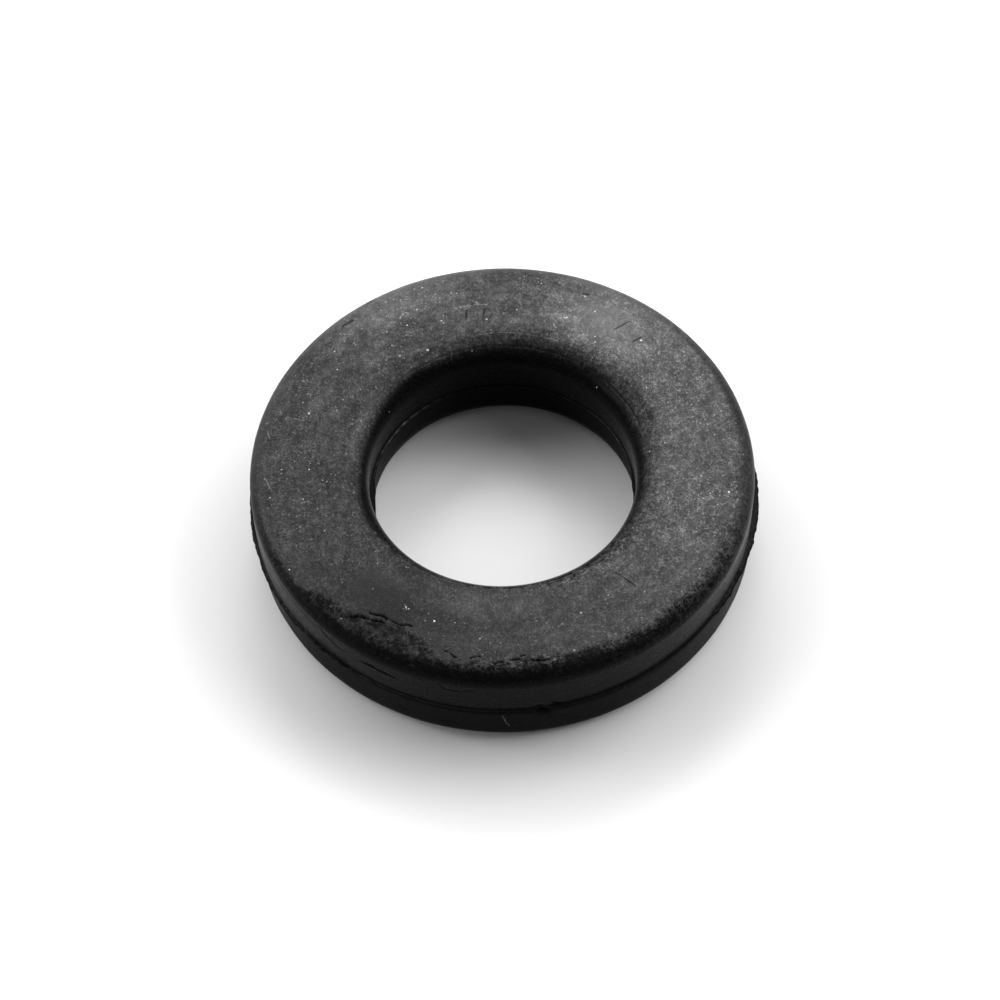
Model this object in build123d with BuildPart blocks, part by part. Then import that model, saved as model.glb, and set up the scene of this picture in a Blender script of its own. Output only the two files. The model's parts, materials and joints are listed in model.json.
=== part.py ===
from build123d import *
from math import cos, radians, sin
import os

# Fork bump stop: a moulded rubber ring that sits loose round the rod of a small telescopic fork
# and cushions the end of its stroke. It is one piece. The axis is +Z, the lower face rests on
# Z = 0, and the origin is below the centre of the upper half. All sizes are in millimetres.

# Ring
outer_diameter = 26.0
bore_diameter = 13.85
thickness = 5.75
outer_edge_radius = 0.85
bore_edge_radius = 1.45

# The lower half of the mould sat this far out of line with the upper half, along X and along Y.
mould_mismatch = (0.08, -0.04)

# Parting line, where the two halves of the mould met: a trimmed lip on the outer wall and a
# finer fin in the bore. Heights are measured along the axis, at the root and at the tip.
lip_reach = 0.06
lip_root_height = 0.26
lip_tip_height = 0.08
fin_reach = 0.06
fin_root_height = 0.18

# Torn flash: stretches of the parting line where the waste rubber tore off instead of being
# trimmed. Each has its first and last angle, in degrees counted from +X towards +Y, how far it
# stands out of the outer wall, and how thick it is along the axis.
torn_stretches = (
    (-36, -25, 0.13, 0.24),
    (-25, 3, 0.29, 0.12),
    (177, 236, 0.2, 0.12),
)
flash_raggedness = 0.04
flash_anchor = 0.4
tear_step = 2.0

# The two halves of the mould are equally deep, so the parting line is at mid-height.
outer_radius = outer_diameter / 2
bore_radius = bore_diameter / 2
wall = outer_radius - bore_radius
parting_height = thickness / 2

# An edge's radius is limited by the wall and the height that it rounds off.
outer_edge = min(outer_edge_radius, 0.35 * wall, 0.9 * (parting_height - lip_root_height / 2))
bore_edge = min(bore_edge_radius, 0.6 * wall, 0.9 * (parting_height - fin_root_height / 2))


def half_centre(share):
    """A point on Z = 0, below the upper half's centre (share 0), the lower half's (1) or between."""
    return (share * mould_mismatch[0], share * mould_mismatch[1], 0)


def section_plane(share):
    """An upright plane through the axis below half_centre: its X is the radius, its Y the height."""
    return Plane(origin=half_centre(share), x_dir=(1, 0, 0), z_dir=(0, -1, 0))


def ragged(angle):
    """Three uneven ripples round the rim, between -1 and 1."""
    return (
        0.5 * sin(radians(29 * angle))
        + 0.3 * sin(radians(47 * angle + 50))
        + 0.2 * sin(radians(71 * angle + 120))
    )


def on_circle(radius, angle):
    """The point at an angle, in degrees, on a circle round the axis."""
    return (radius * cos(radians(angle)), radius * sin(radians(angle)))


def torn_edge(first, last, reach):
    """Points along the ragged edge of one stretch of torn flash."""
    steps = round((last - first) / tear_step)
    angles = [first + (last - first) * step / steps for step in range(steps + 1)]
    edge_radii = [outer_radius + reach + flash_raggedness * ragged(angle) for angle in angles]
    return [on_circle(radius, angle) for radius, angle in zip(edge_radii, angles)]


with BuildPart() as bump_stop_ring:
    # Each half of the moulding: a flat face, straight walls, a tight outer edge and a full bore
    # edge. The upper half has its face corners highest in the section, the lower half lowest.
    for share, middle_height, face_corners in (
        (0, 1.5 * parting_height, -1),
        (1, 0.5 * parting_height, 0),
    ):
        with BuildSketch(section_plane(share)) as section:
            with Locations((bore_radius + wall / 2, middle_height)):
                Rectangle(wall, parting_height)
            bore_corner = section.vertices().group_by(Axis.Y)[face_corners].sort_by(Axis.X)[0]
            fillet(bore_corner, bore_edge)
            outer_corner = section.vertices().group_by(Axis.Y)[face_corners].sort_by(Axis.X)[-1]
            fillet(outer_corner, outer_edge)
        revolve(axis=Axis(half_centre(share), (0, 0, 1)))

    with BuildSketch(section_plane(0.5)):
        # Trimmed lip on the outer wall, thinner towards its tip
        with BuildLine():
            Polyline(
                (outer_radius - flash_anchor, parting_height - lip_root_height / 2),
                (outer_radius, parting_height - lip_root_height / 2),
                (outer_radius + lip_reach, parting_height - lip_tip_height / 2),
                (outer_radius + lip_reach, parting_height + lip_tip_height / 2),
                (outer_radius, parting_height + lip_root_height / 2),
                (outer_radius - flash_anchor, parting_height + lip_root_height / 2),
                close=True,
            )
        make_face()

        # Fin in the bore, drawn out to a sharp edge
        with BuildLine():
            Polyline(
                (bore_radius + flash_anchor, parting_height - fin_root_height / 2),
                (bore_radius, parting_height - fin_root_height / 2),
                (bore_radius - fin_reach, parting_height),
                (bore_radius, parting_height + fin_root_height / 2),
                (bore_radius + flash_anchor, parting_height + fin_root_height / 2),
                close=True,
            )
        make_face()
    revolve(axis=Axis(half_centre(0.5), (0, 0, 1)))

    # Torn flash, left on the lip along each torn stretch
    for first, last, reach, flash_thickness in torn_stretches:
        flash_plane = Plane(half_centre(0.5)).offset(parting_height - flash_thickness / 2)
        with BuildSketch(flash_plane):
            with BuildLine():
                tear = Spline(*torn_edge(first, last, reach))
                root = CenterArc((0, 0), outer_radius - flash_anchor, first, last - first)
                Line(root @ 0, tear @ 0)
                Line(root @ 1, tear @ 1)
            make_face()
        extrude(amount=flash_thickness)

os.makedirs("parts", exist_ok=True)
bump_stop_ring.part.label = "bump_stop_ring"
export_step(bump_stop_ring.part, "parts/bump_stop_ring.step")
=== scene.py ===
import json
from math import cos, pi, radians, sin, tan

import bpy
import numpy as np
from mathutils import Matrix, Vector, noise


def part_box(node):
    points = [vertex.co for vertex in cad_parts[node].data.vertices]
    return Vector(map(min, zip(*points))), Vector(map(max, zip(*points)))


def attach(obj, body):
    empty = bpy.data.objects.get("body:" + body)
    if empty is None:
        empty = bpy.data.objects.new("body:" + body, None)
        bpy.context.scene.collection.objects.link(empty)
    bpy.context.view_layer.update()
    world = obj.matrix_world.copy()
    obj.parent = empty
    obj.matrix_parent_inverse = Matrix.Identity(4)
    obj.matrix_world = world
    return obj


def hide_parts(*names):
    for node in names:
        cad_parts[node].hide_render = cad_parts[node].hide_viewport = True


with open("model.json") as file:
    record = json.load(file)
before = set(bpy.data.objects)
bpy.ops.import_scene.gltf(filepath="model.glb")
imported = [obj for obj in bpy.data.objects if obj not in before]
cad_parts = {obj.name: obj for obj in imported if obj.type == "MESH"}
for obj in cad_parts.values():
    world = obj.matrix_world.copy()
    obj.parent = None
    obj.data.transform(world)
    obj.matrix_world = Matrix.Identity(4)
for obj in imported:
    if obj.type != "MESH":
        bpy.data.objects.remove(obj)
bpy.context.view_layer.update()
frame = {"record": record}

# The fork bump stop: one moulded rubber ring. The frame is in metres, and the ring's own sizes are
# worked out here in millimetres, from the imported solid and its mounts.
MM = 0.001
RING = "bump_stop_ring"
low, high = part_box(RING)
bore = next(mount for mount in frame["record"]["mounts"] if mount["name"] == "bore")

# The lip's reach beyond the outer wall and the outer edge's radius are those of the part's source
LIP_REACH = 0.06
OUTER_EDGE = 0.85
THICKNESS = (high.z - low.z) / MM
OUTER_RADIUS = (high.y - low.y) / 2 / MM - LIP_REACH
BORE_RADIUS = bore["dims"]["r_mm"]
BORE_EDGE = (THICKNESS - bore["dims"]["length_mm"]) / 2
HALF = THICKNESS / 2

# Distances along the section of one half of the moulding, from the bore's middle up over the face
# to the parting line on the outer wall
BORE_EDGE_START = HALF - BORE_EDGE
FACE_START = BORE_EDGE_START + BORE_EDGE * pi / 2
FACE_END = FACE_START + OUTER_RADIUS - OUTER_EDGE - BORE_RADIUS - BORE_EDGE
WALL_START = FACE_END + OUTER_EDGE * pi / 2
PARTING = WALL_START + HALF - OUTER_EDGE

# The lower half of the mould sat a little out of line with the upper half
LOWER_SHIFT = (0.08, -0.04)

# Torn flash on the outer wall: angle, reach beyond the wall, half thickness
TORN_FLASH = (
    (-38, 0.0, 0.10),
    (-36, 0.10, 0.12),
    (-31, 0.13, 0.13),
    (-26, 0.15, 0.10),
    (-20, 0.19, 0.075),
    (-10, 0.25, 0.06),
    (3, 0.26, 0.06),
    (7, 0.20, 0.06),
    (9, 0.0, 0.06),
    (175, 0.0, 0.06),
    (177, 0.19, 0.06),
    (212, 0.18, 0.06),
    (232, 0.16, 0.06),
    (240, 0.0, 0.06),
)
RAGGEDNESS = 0.03
FINE_RAGGEDNESS = 0.07
# The circle on which the finer raggedness is read
RIM_RADIUS = 13

# The fin in the bore, where it was left thick: middle angle, half width in degrees, reach
TORN_FINS = ((181, 15, 0.26), (0, 15, 0.18))
FIN_REACH = 0.08

# Dust on the upper face, with painted light that makes the face brighter to the right and the back:
# angle, and how much of the light it sends back
DUST_AND_LIGHT_ROUND = (
    (0, 0.062), (20, 0.062), (40, 0.067), (60, 0.069), (75, 0.054), (90, 0.051),
    (120, 0.048), (140, 0.043), (175, 0.034), (195, 0.034), (205, 0.033), (222, 0.026),
    (235, 0.017), (255, 0.027), (270, 0.033), (300, 0.042), (330, 0.055),
)
# How far the dust reaches, as distances along the section: angle, start and full cover on the bore's
# edge, last full cover and end on the outer edge, and the share that stays on past that end
DUST_LIMITS = (
    (0, 2.2, 3.5, 7.2, 7.9, 0.30),
    (20, 2.0, 4.4, 7.4, 7.8, 0.35),
    (40, 2.3, 4.9, 7.5, 7.8, 0.55),
    (60, 2.3, 4.9, 7.5, 7.8, 0.80),
    (90, 2.2, 4.7, 7.6, 8.0, 1.00),
    (108, 2.15, 4.2, 7.6, 8.0, 1.00),
    (119, 2.3, 3.3, 7.6, 8.0, 0.95),
    (127, 2.60, 3.1, 7.6, 8.0, 0.95),
    (150, 2.2, 2.95, 7.6, 8.0, 0.95),
    (163, 2.0, 2.85, 7.6, 8.0, 0.95),
    (176, 2.1, 2.85, 7.6, 8.0, 0.90),
    (190, 2.4, 3.2, 7.8, 8.1, 0.50),
    (205, 2.8, 3.4, 7.8, 8.05, 0.20),
    (216, 2.6, 3.4, 7.8, 8.1, 0.0),
    (226, 2.5, 3.1, 7.7, 8.0, 0.0),
    (234, 2.5, 3.0, 7.7, 8.0, 0.0),
    (250, 2.4, 3.0, 7.5, 8.0, 0.0),
    (270, 2.5, 3.2, 6.65, 7.95, 0.0),
    (300, 2.35, 3.9, 7.15, 8.0, 0.04),
    (315, 2.2, 4.0, 7.2, 8.1, 0.06),
    (330, 2.1, 4.2, 7.1, 8.3, 0.15),
    (340, 2.1, 4.1, 7.0, 8.2, 0.25),
    (350, 2.2, 3.7, 6.9, 8.0, 0.30),
)
# Patches with more or less dust, the first of them a painted highlight at the back right: middle angle
# and place along the section, half width in degrees, half width along the section, and the change
DUST_AND_HIGHLIGHT_PATCHES = (
    # a painted highlight: a broad soft bright patch at the back right of the face
    (57, 5.9, 23, 3.0, 0.95),
    (118, 6.9, 24, 1.9, 1.15),
    (250, 4.1, 42, 1.1, 0.9),
    (105, 8.1, 75, 0.5, 0.5),
    (25, 3.5, 34, 0.4, -0.5),
    (103, 2.9, 20, 0.35, 0.9),
    (120, 3.3, 14, 0.4, -0.35),
    (161, 3.05, 24, 0.4, 0.9),
    (195, 7.95, 18, 0.3, 0.5),
    (131, 3.6, 26, 0.35, -0.45),
)
# Dull stretches of the upper wall, then those where the wall's bright grazing reflection is painted in
# as pale cover: middle angle and place, half width in degrees, half width along the section, and
# strength
DULL_STRETCHES = ((215, 9.05, 30, 0.4, 0.5), (-30, 8.7, 10, 0.3, 0.5))
PAINTED_REFLECTION_STRETCHES = ((204, 10.35, 20, 0.75, 1), (-19, 10.4, 12, 0.6, 0.35))
# Where the face is worn rough, between the long tear and the outer edge: angle and inner limit
WORN_LIMIT = (
    (213, 8.3), (216, 7.7), (220, 7.15), (224, 7.05), (228, 7.1), (231, 6.9), (234, 6.6),
    (238, 6.4), (243, 6.2), (248, 6.5), (252, 7.1), (256, 7.6), (262, 8.3),
)
NOT_WORN = 8.25

# Heights and depths of the skin's unevenness
BROAD_WAVE = 0.012
FINE_WAVE = 0.005
WORN_ROUGHNESS = 0.02
TORN_ROUGHNESS = 0.03
GROOVE_DEPTH = 0.08
CREASE_DEPTH = 0.03
CREASE_PLACE = 2.83
# A point this near to the wall or to the bore is taken to be on it
SLACK = 0.001


# ---------------------------------------------------------------- shape of the ring

def smooth(value, first, last):
    """0 before first, 1 after last, and a smooth rise between them."""
    share = np.clip((value - first) / (last - first), 0, 1)
    return share * share * (3 - 2 * share)


def swell(value, middle, half_width):
    """1 at the middle, and a smooth fall to 0 on both sides."""
    return 1 - smooth(np.abs(value - middle), 0, half_width)


def band(value, first, full, last, end):
    """1 between full and last, and a smooth fall to 0 towards first and end."""
    return smooth(value, first, full) * (1 - smooth(value, last, end))


def turn_from(middle, angle):
    """The turn from a middle angle, in degrees, the short way round."""
    return (angle - middle + 180) % 360 - 180


def on_circle(radius, turn):
    """The point at an angle, in degrees, on a circle round the axis."""
    return radius * cos(radians(turn)), radius * sin(radians(turn))


def half_section(along):
    """Radius, height above the parting plane, and the normal's two parts, on the upper half."""
    bore_turn = np.clip((along - BORE_EDGE_START) / BORE_EDGE, 0, pi / 2)
    edge_turn = np.clip((along - FACE_END) / OUTER_EDGE, 0, pi / 2)
    face = np.clip(along - FACE_START, 0, FACE_END - FACE_START)
    radius = (
        BORE_RADIUS + BORE_EDGE * (1 - np.cos(bore_turn)) + face + OUTER_EDGE * np.sin(edge_turn)
    )
    height = np.minimum(along, BORE_EDGE_START) + BORE_EDGE * np.sin(bore_turn)
    height = height - OUTER_EDGE * (1 - np.cos(edge_turn)) - np.maximum(along - WALL_START, 0)
    outward = np.sin(edge_turn) - np.cos(bore_turn)
    upward = np.where(along < FACE_START, np.sin(bore_turn), np.cos(edge_turn))
    return radius, height, outward, upward


# Rows along each half: start, end and number of steps, closest where the surface is marked
UPPER_ROWS = (
    (0.34, BORE_EDGE_START, 8),
    (BORE_EDGE_START, 2.6, 9),
    (2.6, 3.0, 10),
    (3.0, FACE_START, 9),
    (FACE_START, 5.85, 15),
    (5.85, FACE_END, 32),
    (FACE_END, WALL_START, 26),
    (WALL_START, PARTING - 0.3, 25),
)
LOWER_ROWS = (
    (PARTING - 0.34, WALL_START, 12),
    (WALL_START, FACE_END, 8),
    (FACE_END, FACE_START, 5),
    (FACE_START, BORE_EDGE_START, 10),
    (BORE_EDGE_START, 0.3, 6),
)
# Heights of the rows that cross the parting line on the wall, and of those that cross the fin
LIP_ROWS = (0.3, 0.23, 0.17, 0.12, 0.09, 0.065, 0.045, 0, -0.045, -0.065, -0.09, -0.13, -0.19, -0.26)
FIN_ROWS = (-0.25, -0.17, -0.11, -0.07, -0.035, 0, 0.035, 0.07, 0.11, 0.17, 0.25)

# Columns round the ring: first angle, last angle and step in degrees, closest where it is torn
COLUMN_ZONES = (
    (-42, 12, 0.5),
    (12, 168, 1.9),
    (168, 215, 0.62),
    (215, 290, 0.37),
    (290, 318, 1.4),
)


def stepped(zones):
    """Values through a row of zones, without the last zone's end."""
    return np.concatenate(
        [np.linspace(start, end, steps, endpoint=False) for start, end, steps in zones]
    )


def column_angles():
    """Angles of the columns, once round the ring."""
    return stepped(
        [(first, last, round((last - first) / step)) for first, last, step in COLUMN_ZONES]
    )


def section_rows():
    """Every row's place along its half's section, and which half it is on: 1 above, -1 below."""
    upper, lower = stepped(UPPER_ROWS), stepped(LOWER_ROWS)
    lip, fin = np.array(LIP_ROWS), np.array(FIN_ROWS)
    along = np.concatenate([upper, PARTING - np.abs(lip), lower, np.abs(fin)])
    side = np.concatenate([
        np.ones(len(upper)),
        np.where(lip < 0, -1, 1),
        -np.ones(len(lower)),
        np.where(fin < 0, -1, 1),
    ])
    return along, side


def ripple(angle):
    """The torn edge's three uneven ripples, as in the solid."""
    return (
        0.5 * np.sin(np.radians(29 * angle))
        + 0.3 * np.sin(np.radians(47 * angle + 50))
        + 0.2 * np.sin(np.radians(71 * angle + 120))
    )


def flash(angle):
    """Reach and half thickness of the torn flash at each angle."""
    angles, reaches, thicknesses = zip(*TORN_FLASH)
    turn = np.radians(angle)
    rim = np.stack([RIM_RADIUS * np.cos(turn), RIM_RADIUS * np.sin(turn), 0 * turn], 1)
    ragged = RAGGEDNESS * ripple(angle) + FINE_RAGGEDNESS * uneven(rim, 0.3, 10)
    reach = np.interp(angle, angles, reaches)
    return np.where(reach > 0.02, reach + ragged, 0), np.interp(angle, angles, thicknesses)


def fin_reach(angle):
    """Reach of the fin in the bore at each angle."""
    reach = FIN_REACH * (1 + 0.25 * ripple(angle * 0.6))
    for middle, half_width, torn in TORN_FINS:
        stretch = swell(turn_from(middle, angle), 0, half_width)
        reach = reach + (torn - FIN_REACH) * stretch * (1 + 0.2 * ripple(angle))
    return reach


def uneven(points, size, seed):
    """Soft noise between -1 and 1 at each point; size is the length of its waves."""
    shift = Vector((seed * 17.3, seed * 5.1, seed * 9.7))
    flat = points.reshape(-1, 3) / size
    values = [noise.noise(Vector(point) + shift) for point in flat.tolist()]
    return np.array(values).reshape(points.shape[:-1])


def reach_of(path, across, along):
    """Distance from every point of a surface map to a path on it, and the share of the path passed."""
    best = np.full(across.shape, np.inf)
    share = np.zeros(across.shape)
    pieces = len(path) - 1
    for index in range(pieces):
        (start_a, start_b), (end_a, end_b) = path[index], path[index + 1]
        step_a, step_b = end_a - start_a, end_b - start_b
        off_a, off_b = across - start_a, along - start_b
        passed = np.clip((off_a * step_a + off_b * step_b) / (step_a**2 + step_b**2), 0, 1)
        gap = np.hypot(off_a - passed * step_a, off_b - passed * step_b)
        nearer = gap < best
        best = np.where(nearer, gap, best)
        share = np.where(nearer, (index + passed) / pieces, share)
    return best, share


# Cuts in the upper face: width, depth, height of the raised edge, and the path's radii and angles
FACE_CUTS = (
    (0.085, 0.15, 0.03,
     ((12.12, 229.6), (11.68, 231.2), (11.41, 233.8), (11.35, 236.1), (11.16, 238.5))),
    (0.08, 0.14, 0.03, ((11.19, 232.7), (11.08, 234.4), (10.94, 236.2), (10.97, 238.4))),
    (0.06, 0.10, 0.02, ((10.97, 238.4), (11.02, 240.5), (10.84, 242.9), (10.73, 245.5))),
    (0.06, 0.06, 0.01, ((10.25, 239.1), (10.34, 240.4), (10.29, 241.9))),
    (0.07, 0.10, 0.015, ((11.62, 254.1), (11.67, 256.2), (11.92, 258.2))),
    (0.07, 0.09, 0.01, ((11.75, 260.5), (11.63, 263.8))),
    (0.07, 0.10, 0.01, ((12.07, 266.7), (11.9, 269.6))),
    (0.07, 0.10, 0.01, ((11.84, 270.4), (11.8, 271.4), (11.83, 273.8))),
    (0.09, 0.11, 0.01, ((11.93, 275.4), (11.96, 276.6), (12.03, 279.9))),
    (0.06, 0.08, 0.0, ((11.6, 273.2), (11.58, 275.0))),
)
# Pits in the upper face: radius, angle, size, and depth, which is below 0 for a crumb that stands up
FACE_PITS = (
    (12.59, 219.5, 0.10, 0.06),
    (12.41, 219.6, 0.09, 0.06),
    (11.97, 220.3, 0.09, 0.05),
    (12.07, 222.1, 0.08, 0.05),
    (11.84, 223.1, 0.09, 0.06),
    (11.78, 225.1, 0.08, 0.05),
    (11.76, 227.3, 0.09, 0.06),
    (9.94, 240.2, 0.12, -0.04),
    (10.73, 313, 0.25, 0.03),
    (11.67, 66, 0.16, 0.05),
)
# Marks on the outer wall: width, depth, which is below 0 for a raised edge, and the path's angles
# and places along the section
WALL_MARKS = (
    (0.07, 0.08, ((236, 9.36), (238.5, 9.33), (241.5, 9.38), (245, 9.5))),
    (0.06, -0.05, ((236, 9.56), (238.5, 9.52), (241.5, 9.56), (245, 9.66))),
    (0.05, 0.05, ((224.5, 8.7), (226, 9.2), (229, 9.4), (233, 9.4))),
    (0.05, 0.05, ((255, 8.8), (256.5, 9.25), (260, 9.2), (262.5, 8.9))),
    (0.06, 0.05, ((250.6, 8.75), (251.4, 8.85))),
    (0.08, 0.06, ((245, 12.1), (246, 12.3), (247, 12.4))),
)
# The torn hollow in the wall: middle angle and place, half width in degrees, half width along, depth
WALL_HOLLOWS = ((277.2, 11.0, 2.5, 0.6, 0.16), (281, 10.75, 2.5, 0.25, 0.08))
WALL_MARKS_START = 8.2


def face_relief(points, along, upper):
    """Depths and rises of the upper face's cuts and pits, and how torn the rubber is there."""
    x = points[..., 0] + 0.08 * uneven(points, 0.34, 5) + 0.04 * uneven(points, 0.15, 7)
    y = points[..., 1] + 0.08 * uneven(points, 0.34, 6) + 0.04 * uneven(points, 0.15, 8)
    relief, torn = np.zeros(x.shape), np.zeros(x.shape)
    for width, depth, rise, path in FACE_CUTS:
        gap, share = reach_of([on_circle(*point) for point in path], x, y)
        taper = band(share, -0.02, 0.15, 0.85, 1.02)
        torn_width = width * (1 + 0.8 * uneven(points, 0.22, 9))
        cut = 1 - smooth(gap, 0.15 * torn_width, torn_width)
        edge = swell(gap, 1.5 * width, width)
        relief += taper * (rise * edge - depth * cut)
        torn = np.maximum(torn, taper * cut)
    for radius, turn, size, depth in FACE_PITS:
        middle_x, middle_y = on_circle(radius, turn)
        pit = 1 - smooth(np.hypot(x - middle_x, y - middle_y), 0, size)
        relief -= depth * pit
        torn = np.maximum(torn, 0.9 * pit * (depth > 0))
    on_face = upper * band(along, 3.2, 3.5, 8.3, 8.6)
    return relief * on_face, torn * on_face


def wall_relief(angle, along, side):
    """Depths and rises of the outer wall's marks, and how torn the rubber is there."""
    across = np.radians(angle)[:, None] * OUTER_RADIUS + 0 * along
    down = np.where(side > 0, along, 2 * PARTING - along) + 0 * across
    relief, torn = np.zeros(across.shape), np.zeros(across.shape)
    for width, depth, path in WALL_MARKS:
        flat = [(radians(turn) * OUTER_RADIUS, place) for turn, place in path]
        gap, share = reach_of(flat, across, down)
        mark = (1 - smooth(gap, 0.2 * width, width)) * swell(share, 0.5, 0.9)
        relief -= depth * mark
        torn = np.maximum(torn, mark * (depth > 0))
    for middle, place, wide, long, depth in WALL_HOLLOWS:
        ragged_place = place + 0.25 * ripple(3 * angle)[:, None]
        hollow = swell(angle, middle, wide)[:, None] * swell(down, ragged_place, long)
        relief -= depth * hollow
        torn = np.maximum(torn, smooth(hollow, 0.1, 0.5))
    on_wall = along > WALL_MARKS_START
    return relief * on_wall, torn * on_wall


def round_the_ring(table, column, angle):
    """One column of a table, read round the ring at each angle and softened over a few degrees."""
    steps = np.arange(-6, 7)
    angles, values = [row[0] for row in table], [row[column] for row in table]
    readings = [np.interp(angle + step, angles, values, period=360) for step in steps]
    return np.average(readings, axis=0, weights=np.cos(steps / 7 * pi / 2))[:, None]


def dust_cover(angle, along, side):
    """How much of the skin the dust covers at every point, from 0 to 1."""
    start, full, last, end, kept = (
        round_the_ring(DUST_LIMITS, column, angle) for column in range(1, 6)
    )
    outer = 1 - smooth(along, last, end) * (1 - kept * (1 - smooth(along, 8.6, 9.6)))
    underneath = 0.4 * band(along, 3, 4, 7, 8)
    return np.where(side > 0, smooth(along, start, full) * outer, underneath)


def dust_and_highlight_tone(angle, along):
    """How much light the dust sends back at every point, with the painted highlight and the face's
    painted fall of light in it.
    """
    dust_and_highlight = round_the_ring(DUST_AND_LIGHT_ROUND, 1, angle) + 0 * along
    for middle, place, wide, long, change in DUST_AND_HIGHLIGHT_PATCHES:
        patch = swell(turn_from(middle, angle)[:, None], 0, wide) * swell(along, place, long)
        dust_and_highlight = dust_and_highlight * (1 + change * patch)
    return dust_and_highlight


def stretches(table, angle, along, side):
    """The strongest of a table's stretches at every point of the upper half."""
    strongest = 0 * angle[:, None] * along
    for middle, place, wide, long, strength in table:
        stretch = swell(angle, middle, wide)[:, None] * swell(along, place, long)
        strongest = np.maximum(strongest, strength * stretch * (side > 0))
    return strongest


def parting_line(angle, off_parting, wall, in_bore):
    """How far the lip, the flash and the fin stand out, and how torn the flash and the fin are."""
    reach, half_thick = (values[:, None] for values in flash(angle))
    fin = fin_reach(angle)[:, None]
    off = np.abs(off_parting)
    lip = LIP_REACH * (1 - smooth(off, 0.02, 0.14)) * wall
    blade = (1 - smooth(off, half_thick, half_thick + 0.03)) * wall
    groove = GROOVE_DEPTH * swell(off_parting, -0.2, 0.18) * wall * swell(angle, 262, 70)[:, None]
    fin_share = (1 - smooth(off, 0.01, 0.13)) * in_bore
    stand = np.maximum(lip, reach * blade) - groove - fin * fin_share
    return stand, 0.6 * blade * (reach > 0), fin_share * smooth(fin, 0.11, 0.16)


def worn_places(points, angle, along, side):
    """Noise of the rough rubber, where the face is worn, and where its outer edge was torn."""
    rough = uneven(points, 0.28, 3)
    angles, limits = zip(*WORN_LIMIT)
    limit = np.interp(angle, angles, limits)[:, None]
    worn = smooth(along + 0.35 * rough + 0.2 * uneven(points, 0.9, 4), limit, limit + 0.12)
    worn = worn * (limit < NOT_WORN) * (1 - smooth(along, 8.2, 8.7)) * (side > 0)
    torn_edge = band(angle, 282, 284, 291, 294)[:, None] * band(along, 7.1, 7.4, 8.1, 8.5)
    return rough, worn, torn_edge * (side > 0)


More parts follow.
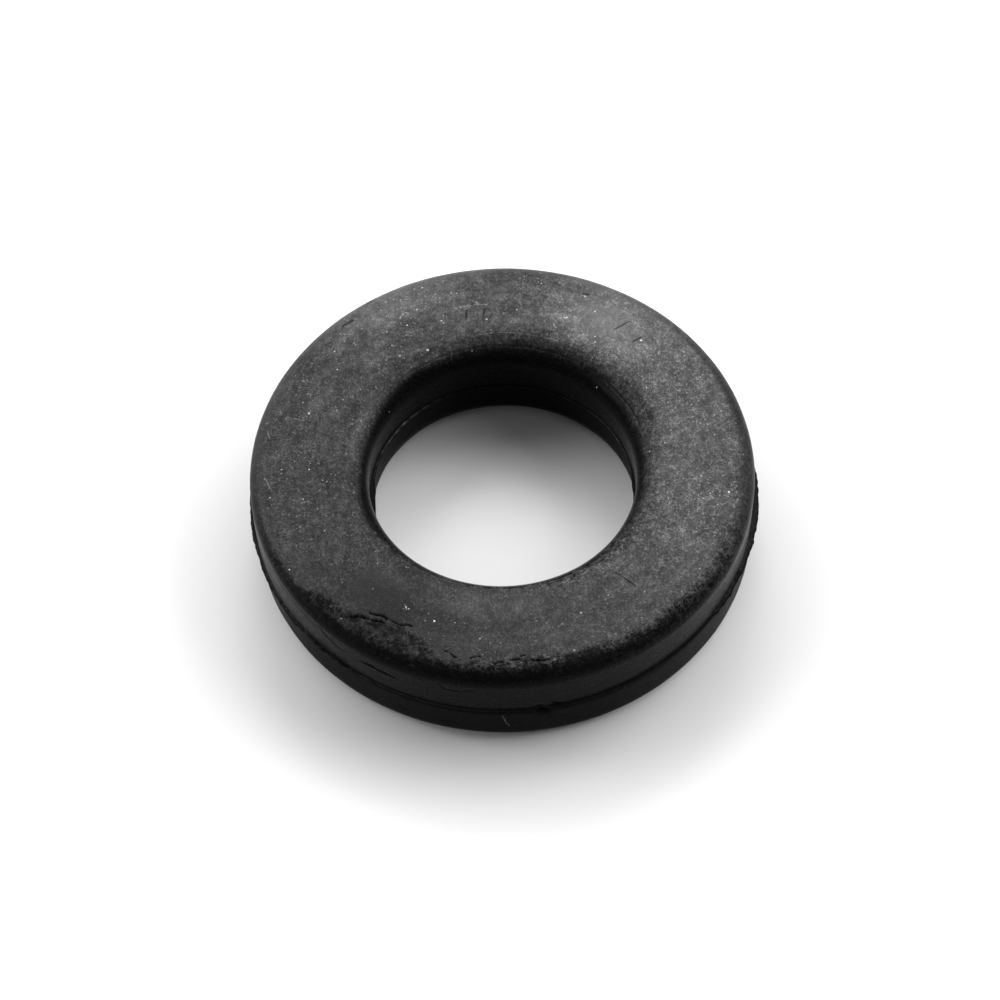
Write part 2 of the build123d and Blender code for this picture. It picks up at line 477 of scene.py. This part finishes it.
def make_ring():
    """The whole ring as one closed grid: columns round the axis, rows round the section."""
    angle = column_angles()
    along, side = section_rows()
    radius, height, outward, upward = half_section(along)
    off_parting, upward = height * side, upward * side
    wall = (radius > OUTER_RADIUS - SLACK) * 1.0
    in_bore = (radius < BORE_RADIUS + SLACK) * 1.0
    turn = np.radians(angle)[:, None]
    round_x, round_y = np.cos(turn), np.sin(turn)
    points = np.stack([radius * round_x, radius * round_y, off_parting + HALF + 0 * turn], 2)

    # unevenness of the moulded skin, the crease below the bore's edge, wear, cuts, pits and marks
    stand, blade_torn, fin_torn = parting_line(angle, off_parting, wall, in_bore)
    rough, worn, torn_edge = worn_places(points, angle, along, side)
    face_part, face_torn = face_relief(points, along[None, :], side > 0)
    wall_part, wall_torn = wall_relief(angle, along, side)
    wave = BROAD_WAVE * uneven(points, 2.6, 1) + FINE_WAVE * uneven(points, 0.7, 2)
    crease_place = CREASE_PLACE + 0.02 * ripple(angle)[:, None]
    crease = swell(along[None, :], crease_place, 0.09) * (side > 0)
    relief = face_part + wall_part - CREASE_DEPTH * crease + wave
    relief = relief + (WORN_ROUGHNESS * worn + TORN_ROUGHNESS * torn_edge) * rough

    # how torn and dull the rubber is: most in the cuts, and all along the parting line
    by_parting = 0.8 * wall * band(off_parting, -0.21, -0.13, 0.03, 0.11) + 0 * turn
    low_left = 0.6 * swell(angle, 224, 22)[:, None] * smooth(along, 8.5, 9) * (side < 0)
    torn = np.maximum.reduce([
        face_torn,
        wall_torn,
        0.7 * torn_edge,
        blade_torn,
        fin_torn,
        by_parting,
        stretches(DULL_STRETCHES, angle, along, side),
        low_left,
        0.3 * worn,
    ])

    # dust, less of it where the face is worn, a painted highlight along the fin's crest where it
    # catches the light, and the walls' bright grazing reflection painted in as pale cover
    cover_and_highlights = dust_cover(angle, along, side) * (1 - (0.8 - 0.6 * smooth(rough, -0.15, 0.3)) * worn)
    broken = smooth(ripple(angle * 2), -0.7, 0.3)
    fin_highlight_round = 0.8 * swell(angle, 29, 23) + 0.9 * swell(angle, 140, 36) * broken
    fin_highlight = fin_highlight_round[:, None] * in_bore * (1 - smooth(np.abs(off_parting - 0.02), 0.01, 0.04))
    dusty_blade = (0.5 + 0.4 * swell(angle, 203, 26))[:, None] * blade_torn
    # the side walls' bright grazing reflection, painted in as pale cover
    painted_reflection = stretches(PAINTED_REFLECTION_STRETCHES, angle, along, side)
    cover_and_highlights = np.maximum.reduce([cover_and_highlights, fin_highlight, painted_reflection, dusty_blade])
    dust_and_highlight = dust_and_highlight_tone(angle, along) * (1 + 0.8 * fin_highlight)

    # everything in its place, the lower half out of line, and all of it inside the solid's box
    lower_share = smooth(-off_parting, -0.03, 0.03)
    points[..., 0] += (relief * outward + stand) * round_x + LOWER_SHIFT[0] * lower_share
    points[..., 1] += (relief * outward + stand) * round_y + LOWER_SHIFT[1] * lower_share
    points[..., 2] += relief * upward
    points = np.clip(points * MM, list(low), list(high))

    count, rows = points.shape[:2]
    column, row = np.meshgrid(np.arange(count), np.arange(rows), indexing="ij")
    next_column, next_row = (column + 1) % count, (row + 1) % rows
    faces = np.stack([
        column * rows + row,
        column * rows + next_row,
        next_column * rows + next_row,
        next_column * rows + row,
    ], 2).reshape(-1, 4)

    mesh = bpy.data.meshes.new("rubber_ring")
    mesh.from_pydata(points.reshape(-1, 3), [], faces.tolist())
    mesh.shade_smooth()
    for name, values in {"torn": torn, "dust_and_highlight": dust_and_highlight, "cover_and_highlights": cover_and_highlights}.items():
        mesh.attributes.new(name, "FLOAT", "POINT").data.foreach_set("value", values.ravel())
    unroll(mesh, points, angle)
    ring = bpy.data.objects.new("rubber_ring", mesh)
    bpy.context.scene.collection.objects.link(ring)
    return ring


def unroll(mesh, points, angle):
    """A map of the ring's surface: angle across and the section's length up, in two stacked
    halves. The upper half of the section gets twice the room of the lower."""
    count, rows = points.shape[:2]
    radius = np.hypot(points[..., 0], points[..., 1]).mean(0)
    height = points[..., 2].mean(0)
    lengths = np.hypot(np.diff(radius, append=radius[0]), np.diff(height, append=height[0]))
    weight = np.where(height > THICKNESS * MM * 0.45, 2.0, 1.0)
    place = np.concatenate([[0], np.cumsum(lengths * weight)])
    place = place / place[-1]

    ends = np.append(angle, angle[0] + 360)
    turned = (ends - ends[0]) / 360
    split = int(np.searchsorted(turned, 0.5))
    margin = 0.006
    column, row = np.meshgrid(np.arange(count), np.arange(rows), indexing="ij")
    second = column >= split
    corner_column = np.stack([column, column, column + 1, column + 1], 2)
    corner_row = np.stack([row, row + 1, row + 1, row], 2)
    first_turn = np.where(second, turned[split], 0)[..., None]
    span = np.where(second, 1 - turned[split], turned[split])[..., None]
    across = margin + (1 - 2 * margin) * (turned[corner_column] - first_turn) / span
    up = margin + (0.5 - 2 * margin) * place[corner_row] + 0.5 * second[..., None]
    layer = mesh.uv_layers.new(name="OFBake")
    layer.data.foreach_set("uv", np.stack([across, up], 3).astype(np.float32).ravel())


# ---------------------------------------------------------------- rubber

# How much of the light the bare rubber, its grain, its specks, the crumbs at the front, the grit,
# the painted highlight line on the bore's edge and the hair send back
BARE_TONE = 0.003
GRAIN_TONE = 0.014
SPECK_TONE = 0.012
CRUMB_TONE = 0.012
GRIT_TONE = 0.33
EDGE_HIGHLIGHT_TONE = 0.045
HAIR_TONE = 0.1

# How deep the finest unevenness of the skin is
BUMP_DEPTH = 0.03
# The hair on the lower wall: its angle in degrees, half a millimetre below the parting line, and
# how far it leans, in degrees for each millimetre of height
HAIR_ANGLE = 268.6
HAIR_LEAN = 1.3

# Pale scratches on the upper face: radius and angle of both ends, and width
LIGHT_SCRATCHES = (
    (7.45, 14, 7.45, 48, 0.035),
    (7.62, 20, 7.62, 45, 0.03),
    (10.25, 103.7, 10.15, 91.4, 0.045),
    (10.4, 97.2, 10.3, 95.2, 0.12),
    (9.57, 351.9, 9.93, 351.4, 0.04),
    (9.93, 351.4, 10.35, 350.8, 0.04),
    (12.34, 168.8, 12.05, 172, 0.05),
    (11.67, 164.4, 10.49, 164.2, 0.04),
    (12.1, 182.9, 11.88, 188.4, 0.06),
    (9.28, 71.9, 8.92, 69.8, 0.045),
    (9.7, 69.5, 9.86, 67.4, 0.045),
    (9.2, 17, 9.65, 19, 0.04),
    (8.9, 26, 9.15, 28, 0.04),
    (10.7, 119.5, 10.94, 117, 0.045),
    (10.94, 117, 10.72, 115.7, 0.045),
    (10.9, 122.4, 10.7, 121.7, 0.04),
    (10.16, 116.8, 9.94, 115.7, 0.04),
    (9.68, 104.8, 9.34, 104.5, 0.04),
)
# A painted highlight along the top of the bore's edge, at the back, where the edge catches the light,
# in the same form
EDGE_HIGHLIGHTS = (
    (8.18, 99.5, 8.25, 91, 0.045),
    (8.25, 93, 8.2, 77, 0.03),
    (8.2, 79, 8.22, 59, 0.035),
)
# Dark scratches on the upper face, in the same form
DARK_SCRATCHES = (
    (7.53, 10, 7.53, 46, 0.04),
    (8.74, 308, 9.22, 309.1, 0.05),
    (9.22, 309.1, 10.27, 310, 0.06),
    (10.12, 53.6, 11.28, 51.2, 0.08),
    (10.12, 46.4, 10.86, 45.4, 0.08),
    (10.04, 99.4, 9.26, 100.6, 0.09),
    (9.94, 93.9, 9.2, 95, 0.09),
    (9.64, 91.5, 9.26, 92.6, 0.08),
    (12.14, 133.4, 12.09, 129, 0.12),
    (12.62, 124, 12.58, 121, 0.08),
    (11.62, 67.3, 11.68, 64.8, 0.12),
)
# Bright specks of grit on the upper face: radius, angle and size
BRIGHT_SPOTS = (
    (8.15, 117.5, 0.09),
    (10.49, 161.5, 0.09),
    (9.17, 93.8, 0.08),
    (10.13, 249.5, 0.07),
    (10.61, 44.8, 0.08),
    (9.83, 68.2, 0.06),
    (9.44, 126.6, 0.06),
    (10.8, 113.5, 0.06),
    (7.61, 3.5, 0.05),
    (9.94, 240.2, 0.06),
    (9.86, 239.7, 0.05),
    (10.02, 240.7, 0.05),
    (9.97, 241.2, 0.04),
    (10.08, 239.8, 0.04),
    (11.03, 155.5, 0.05),
    (11.5, 66.0, 0.07),
    (7.13, 44.5, 0.04),
    (7.45, 101, 0.04),
    (7.02, 146, 0.025),
    (10.46, 144.4, 0.045),
    (11.32, 140, 0.05),
    (8.62, 127.2, 0.05),
    (8.36, 126.5, 0.05),
    (10.34, 124.8, 0.05),
    (11.7, 122.1, 0.045),
    (11.12, 106.2, 0.045),
    (9.78, 84.1, 0.05),
    (11.7, 78.3, 0.045),
    (8.82, 29.9, 0.05),
    (11.36, 12.9, 0.05),
    (11.76, 13.6, 0.055),
    (11.3, 180.9, 0.04),
    (9.88, 181.3, 0.04),
    (9.22, 185.6, 0.035),
    (12.0, 189.1, 0.045),
    (10.36, 191.3, 0.035),
    (11.26, 195.2, 0.045),
    (9.8, 195.8, 0.04),
    (9.88, 203.8, 0.045),
    (12.44, 210, 0.045),
    (12.28, 228.5, 0.04),
    (9.98, 228.8, 0.035),
    (7.96, 231.7, 0.035),
    (9.82, 247, 0.035),
    (10.26, 247.1, 0.035),
    (9.94, 255.3, 0.03),
    (10.64, 262.9, 0.035),
    (11.36, 267.1, 0.03),
    (9.96, 281.5, 0.03),
    (10.24, 285.7, 0.04),
    (9.94, 291.9, 0.045),
    (11.12, 295.3, 0.04),
)


class Number:
    """A number in a shader: Python's operators join Math nodes."""

    def __init__(self, tree, socket):
        self.tree = tree
        self.socket = socket

    def math(self, operation, *others):
        """A Math node on this number and the others."""
        node = self.tree.nodes.new("ShaderNodeMath")
        node.operation = operation
        for slot, value in zip(node.inputs, (self, *others)):
            fill(self.tree, slot, value)
        return Number(self.tree, node.outputs[0])

    def __add__(self, other):
        return self.math("ADD", other)

    __radd__ = __add__

    def __sub__(self, other):
        return self.math("SUBTRACT", other)

    def __rsub__(self, other):
        return self.math("MULTIPLY_ADD", -1, other)

    def __mul__(self, other):
        return self.math("MULTIPLY", other)

    __rmul__ = __mul__

    def __truediv__(self, other):
        return self.math("DIVIDE", other)

    def __mod__(self, other):
        return self.math("MODULO", other)

    def ramp(self, first, last):
        """0 at first, 1 at last, and a smooth rise between them."""
        node = add_node(
            self.tree, "ShaderNodeMapRange", {"interpolation_type": "SMOOTHSTEP"},
            Value=self, From_Min=first, From_Max=last,
        )
        return Number(self.tree, node.outputs["Result"])


def fill(tree, slot, value):
    """Link a number or a socket to a node's input, or set the input's own value."""
    if isinstance(value, Number):
        tree.links.new(value.socket, slot)
    elif isinstance(value, bpy.types.NodeSocket):
        tree.links.new(value, slot)
    else:
        slot.default_value = value


def add_node(tree, kind, settings=None, **sockets):
    """Any other node: its settings first, then its sockets' values or links."""
    node = tree.nodes.new(kind)
    for name, value in (settings or {}).items():
        setattr(node, name, value)
    for name, value in sockets.items():
        fill(tree, node.inputs[name.replace("_", " ")], value)
    return node


class Skin:
    """The ring's surface in a shader, in millimetres and degrees: where each point is, and the
    noises and marks that are placed by it."""

    def __init__(self, tree):
        self.tree = tree
        in_metres = add_node(tree, "ShaderNodeTexCoord").outputs["Object"]
        scaled = add_node(
            tree, "ShaderNodeVectorMath", {"operation": "SCALE"}, Vector=in_metres, Scale=1 / MM
        )
        self.place = scaled.outputs[0]
        parts = add_node(tree, "ShaderNodeSeparateXYZ", Vector=self.place).outputs
        self.x, self.y, self.z = (Number(tree, parts[name]) for name in "XYZ")
        self.radius = (self.x * self.x + self.y * self.y).math("SQRT")
        self.angle = (self.y.math("ARCTAN2", self.x) * (180 / pi) + 360) % 360

    def attribute(self, name):
        """One of the mesh's own attributes."""
        node = add_node(self.tree, "ShaderNodeAttribute", {"attribute_name": name})
        return Number(self.tree, node.outputs["Fac"])

    def cloud(self, scale, detail, seed):
        """Soft noise round 0; scale is in waves per millimetre."""
        node = add_node(
            self.tree, "ShaderNodeTexNoise", {"noise_dimensions": "4D"},
            Vector=self.place, W=seed, Scale=scale, Detail=detail,
        )
        return Number(self.tree, node.outputs["Fac"]) - 0.5

    def smears(self):
        """Soft noise round 0 that is drawn out round the ring."""
        drawn_out = add_node(
            self.tree, "ShaderNodeCombineXYZ",
            X=self.x / self.radius * 5, Y=self.y / self.radius * 5, Z=self.radius * 2.6,
        )
        node = add_node(
            self.tree, "ShaderNodeTexNoise", Vector=drawn_out.outputs[0], Scale=1, Detail=2
        )
        return Number(self.tree, node.outputs["Fac"]) - 0.5

    def strands(self, scale, width, seed):
        """Fine pale worm-like lines, as long as the noise they follow is even."""
        return self.cloud(scale, 1, seed).math("ABSOLUTE").ramp(width, width * 0.2)

    def specks(self, scale, size, share, seed):
        """Small spots on the face, brightest for the luckiest cells; share is how many cells
        have one."""
        moved = add_node(
            self.tree, "ShaderNodeMapping",
            Vector=self.place, Location=(seed, 2.3 * seed, 0.7 * seed),
        )
        cells = add_node(
            self.tree, "ShaderNodeTexVoronoi", {"voronoi_dimensions": "2D"},
            Vector=moved.outputs[0], Scale=scale,
        )
        lottery = add_node(self.tree, "ShaderNodeSeparateColor", Color=cells.outputs["Color"])
        luck = Number(self.tree, lottery.outputs[0]).ramp(1 - share, 1)
        away = Number(self.tree, cells.outputs["Distance"])
        spot = away.ramp(size * scale, size * scale * 0.35)
        return spot * luck * self.z.ramp(THICKNESS - 0.7, THICKNESS - 0.4)

    def scratch(self, first_radius, first_angle, last_radius, last_angle, width):
        """A fine straight or slightly curved line on the face, soft at its ends."""
        reach, turn = last_radius - first_radius, last_angle - first_angle
        if radians(abs(turn)) * (first_radius + last_radius) / 2 > abs(reach):
            line = (reach / turn) * (self.angle - first_angle)
            away = (self.radius - line - first_radius).math("ABSOLUTE")
            passed = self.angle
            low_end, high_end = sorted((first_angle, last_angle))
        else:
            line = (turn / reach) * (self.radius - first_radius)
            away = (self.angle - line - first_angle).math("ABSOLUTE") * (self.radius * (pi / 180))
            passed = self.radius
            low_end, high_end = sorted((first_radius, last_radius))
        soft = 0.2 * (high_end - low_end)
        ends = passed.ramp(low_end, low_end + soft) * passed.ramp(high_end, high_end - soft)
        return away.ramp(width, width * 0.3) * ends

    def spot(self, spot_radius, spot_angle, size):
        """One round spot on the face."""
        middle_x, middle_y = on_circle(spot_radius, spot_angle)
        off_x, off_y = self.x - middle_x, self.y - middle_y
        return (off_x * off_x + off_y * off_y).math("SQRT").ramp(size, size * 0.4)

    def sum_of(self, mark, rows):
        """All the marks of one table together, on the upper half only."""
        total = mark(*rows[0])
        for row in rows[1:]:
            total = total + mark(*row)
        return total * self.z.ramp(HALF, HALF + 0.2)

    def hair(self, bend):
        """One short hair on the lower half's wall, leaning and a little bent."""
        leaning = self.angle - HAIR_ANGLE + HAIR_LEAN * (self.z - HALF + 0.5)
        away = (leaning * (OUTER_RADIUS * pi / 180) + bend).math("ABSOLUTE")
        on_wall = self.radius.ramp(OUTER_RADIUS - 0.5, OUTER_RADIUS - 0.3)
        ends = self.z.ramp(HALF - 1.6, HALF - 1.5) * self.z.ramp(HALF - 0.45, HALF - 0.55)
        return away.ramp(0.035, 0.01) * on_wall * ends


def rubber():
    """Black rubber: clean, faintly glossy walls, a dusty grey face with painted highlights, and dull
    torn places.
    """
    material = bpy.data.materials.new("moulded_rubber")
    material.use_nodes = True
    tree = material.node_tree
    shader = tree.nodes["Principled BSDF"]
    shader.inputs["IOR"].default_value = 1.09
    shader.inputs["Sheen Weight"].default_value = 0.12
    shader.inputs["Sheen Roughness"].default_value = 0.3

    skin = Skin(tree)
    x, y, z, radius, angle = skin.x, skin.y, skin.z, skin.radius, skin.angle
    # the dust and cover attributes carry painted highlights, painted wall reflections and the face's
    # painted fall of light as well as dust
    dust_and_highlight, cover_and_highlights, torn = (skin.attribute(name) for name in ("dust_and_highlight", "cover_and_highlights", "torn"))

    # soft noise from broad to fine, and flakes, strands and specks of pale dust
    broad, blotch = skin.cloud(0.7, 2, 7), skin.cloud(2, 2, 2)
    fine, grain = skin.cloud(6.5, 1, 3), skin.cloud(12, 0, 4)
    flakes = skin.cloud(5.5, 2, 5).ramp(0.09, 0.26) * skin.cloud(1.3, 1, 8).ramp(-0.12, 0.12)
    long_strands = skin.strands(2.8, 0.035, 11) * fine.ramp(-0.12, 0.1)
    short_strands = skin.strands(4.6, 0.05, 12) * blotch.ramp(-0.1, 0.15)
    small_specks = 2.4 * skin.specks(5.3, 0.05, 0.35, 1)
    larger_specks = 4 * skin.specks(2.3, 0.05, 0.4, 2)
    largest_specks = 7 * skin.specks(1.1, 0.06, 0.3, 3)
    gathered = skin.cloud(0.9, 1, 14).ramp(-0.2, 0.12) * (1 + fine * 4).math("MAXIMUM", 0.2)
    pale_specks = (small_specks + larger_specks + largest_specks) * gathered

    # the dust is mottled, most of all where it is thin, and least in one smooth patch
    patch_round = angle.ramp(221, 225) * angle.ramp(242, 238)
    patch_across = radius.ramp(8.8, 9.2) * radius.ramp(11.1, 10.7)
    evenness = (1 - 0.35 * y.ramp(-4, -9)) * (1 - 0.6 * (patch_round * patch_across))
    contrast = (1.4 - 8 * dust_and_highlight) * evenness * (1 - 0.55 * radius.ramp(12.1, 12.4))
    coarse = (0.9 * broad + blotch + skin.smears()) * (1 + 0.4 * y.ramp(4, 9))
    tone_noise = coarse + 1.3 * fine + 1.6 * grain
    pattern = (0.5 + 0.7 * x.ramp(-3, 8)) * (long_strands + short_strands)
    mottle = (contrast * tone_noise).math("EXPONENT") * 0.92 + contrast * (0.9 * flakes + pattern)

    # it breaks up into patches at its limits, and has pale and dark scratches
    ragged = 0.15 + 0.85 * y.ramp(-2, -8)
    break_up = ragged * (1.6 * blotch + 2 * fine + 1.5 * grain)
    amount = dust_and_highlight * (cover_and_highlights + break_up * cover_and_highlights * (1 - cover_and_highlights) * 4).math("MAXIMUM", 0)
    light_lines = 2.2 * skin.sum_of(skin.scratch, LIGHT_SCRATCHES) * fine.ramp(-0.15, 0.1)
    dark_lines = 0.7 * skin.sum_of(skin.scratch, DARK_SCRATCHES).math("MINIMUM", 1)
    dust_and_highlight_grey = amount * (mottle + contrast * pale_specks + light_lines) * (1 - dark_lines)

    # the rubber below the dust, what lies on it, and a painted highlight along the bore's back edge
    rubber_grain = GRAIN_TONE * (grain + 0.8 * fine).math("MAXIMUM", 0)
    bare_skin = BARE_TONE + rubber_grain + SPECK_TONE * skin.specks(2.2, 0.05, 0.25, 6)
    grit = GRIT_TONE * skin.sum_of(skin.spot, BRIGHT_SPOTS) * (1 + 6 * grain).math("MAXIMUM", 0.3)
    crumbs = CRUMB_TONE * flakes * y.ramp(-5, -9)
    edge_highlight = EDGE_HIGHLIGHT_TONE * skin.sum_of(skin.scratch, EDGE_HIGHLIGHTS) * (1 + 4 * fine)
    not_torn = 1 - torn.ramp(0.05, 0.9)
    hair = HAIR_TONE * skin.hair(0.3 * blotch)
    grey = bare_skin + not_torn * dust_and_highlight_grey + grit + crumbs + edge_highlight + hair
    tone = add_node(tree, "ShaderNodeCombineColor", Red=grey, Green=grey, Blue=grey)
    tree.links.new(tone.outputs[0], shader.inputs["Base Color"])

    # dusty, torn and lower parts are duller
    duller = 0.18 * cover_and_highlights.ramp(0.1, 0.6) + 0.4 * torn + 0.3 * z.ramp(HALF - 0.05, HALF - 0.3)
    roughness = 0.3 + duller + 0.4 * fine
    tree.links.new(roughness.socket, shader.inputs["Roughness"])

    height = 0.5 * fine + 0.35 * grain + 0.6 * blotch
    bump = add_node(tree, "ShaderNodeBump", Strength=0.5, Distance=BUMP_DEPTH * MM, Height=height)
    tree.links.new(bump.outputs["Normal"], shader.inputs["Normal"])
    return material


# ---------------------------------------------------------------- studio

def make_floor():
    """A large matt white table top at the ring's foot."""
    size = 3.0
    mesh = bpy.data.meshes.new("floor")
    corners = [(-size, -size, 0), (size, -size, 0), (size, size, 0), (-size, size, 0)]
    mesh.from_pydata(corners, [], [(0, 1, 2, 3)])
    floor = bpy.data.objects.new("floor", mesh)
    material = bpy.data.materials.new("white_table")
    material.use_nodes = True
    shader = material.node_tree.nodes["Principled BSDF"]
    shader.inputs["Base Color"].default_value = (0.8, 0.8, 0.8, 1)
    shader.inputs["Roughness"].default_value = 0.9
    mesh.materials.append(material)
    bpy.context.scene.collection.objects.link(floor)


# Soft boxes round the back and the sides: azimuth, elevation, width and height as seen from the
# ring, all in degrees, and brightness
SOFT_BOXES = {
    "right": (20, 36, 50, 36, 3.7),
    "right_low": (10, 27, 20, 14, 5.2),
    "right_key": (30, 41, 20, 14, 3.3),
    "right_high": (50, 57, 20, 18, 2.0),
    "back": (80, 36, 50, 36, 2.5),
    "back_key": (90, 41, 20, 14, 7.7),
    "back_high": (90, 62, 50, 24, 0.7),
    "left": (140, 36, 50, 36, 3.8),
    "left_low": (170, 27, 20, 14, 6.7),
    "left_lowest": (190, 15, 20, 10, 10.4),
}


def soft_box(name, azimuth, elevation, wide, high, brightness):
    """A soft box that faces the ring. The angles, and how wide and high it looks from there, are in
    degrees; azimuth counts from +X towards +Y."""
    distance = 0.5
    light = bpy.data.lights.new(name, "AREA")
    light.shape = "RECTANGLE"
    light.size = 2 * distance * tan(radians(wide / 2))
    light.size_y = 2 * distance * tan(radians(high / 2))
    light.energy = pi * brightness * light.size * light.size_y
    lamp = bpy.data.objects.new(name, light)
    away = Vector((
        cos(radians(azimuth)) * cos(radians(elevation)),
        sin(radians(azimuth)) * cos(radians(elevation)),
        sin(radians(elevation)),
    ))
    lamp.location = Vector((0, 0, HALF * MM)) + distance * away
    lamp.rotation_euler = away.to_track_quat("Z", "Y").to_euler()
    bpy.context.scene.collection.objects.link(lamp)


def make_camera():
    """The camera looks down at the ring from the front, turned a little about its own axis."""
    elevation = radians(56.18)
    distance = 0.143
    roll = -0.027
    target = Vector((0, 0, HALF * MM))
    camera = bpy.data.objects.new("camera", bpy.data.cameras.new("camera"))
    camera.data.sensor_width = 36
    camera.data.lens = 98.71
    camera.data.clip_start = 0.01
    camera.data.shift_x = -0.00267
    camera.data.shift_y = -0.0081
    away = Vector((0, -cos(elevation), sin(elevation)))
    camera.location = target + distance * away
    facing = away.to_track_quat("Z", "Y").to_matrix().to_4x4()
    turned = facing @ Matrix.Rotation(roll, 4, "Z")
    camera.matrix_world = Matrix.Translation(camera.location) @ turned
    bpy.context.scene.collection.objects.link(camera)
    bpy.context.scene.camera = camera


def make_world():
    """A faint even light from all round."""
    world = bpy.data.worlds.new("studio")
    bpy.context.scene.world = world
    world.use_nodes = True
    background = world.node_tree.nodes["Background"]
    background.inputs["Color"].default_value = (1, 1, 1, 1)
    background.inputs["Strength"].default_value = 0.16


ring = make_ring()
ring.data.materials.append(rubber())
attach(ring, "root")
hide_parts(RING)

make_floor()
make_world()
for name, settings in SOFT_BOXES.items():
    soft_box(name, *settings)
make_camera()
bpy.context.scene.view_settings.view_transform = "Standard"
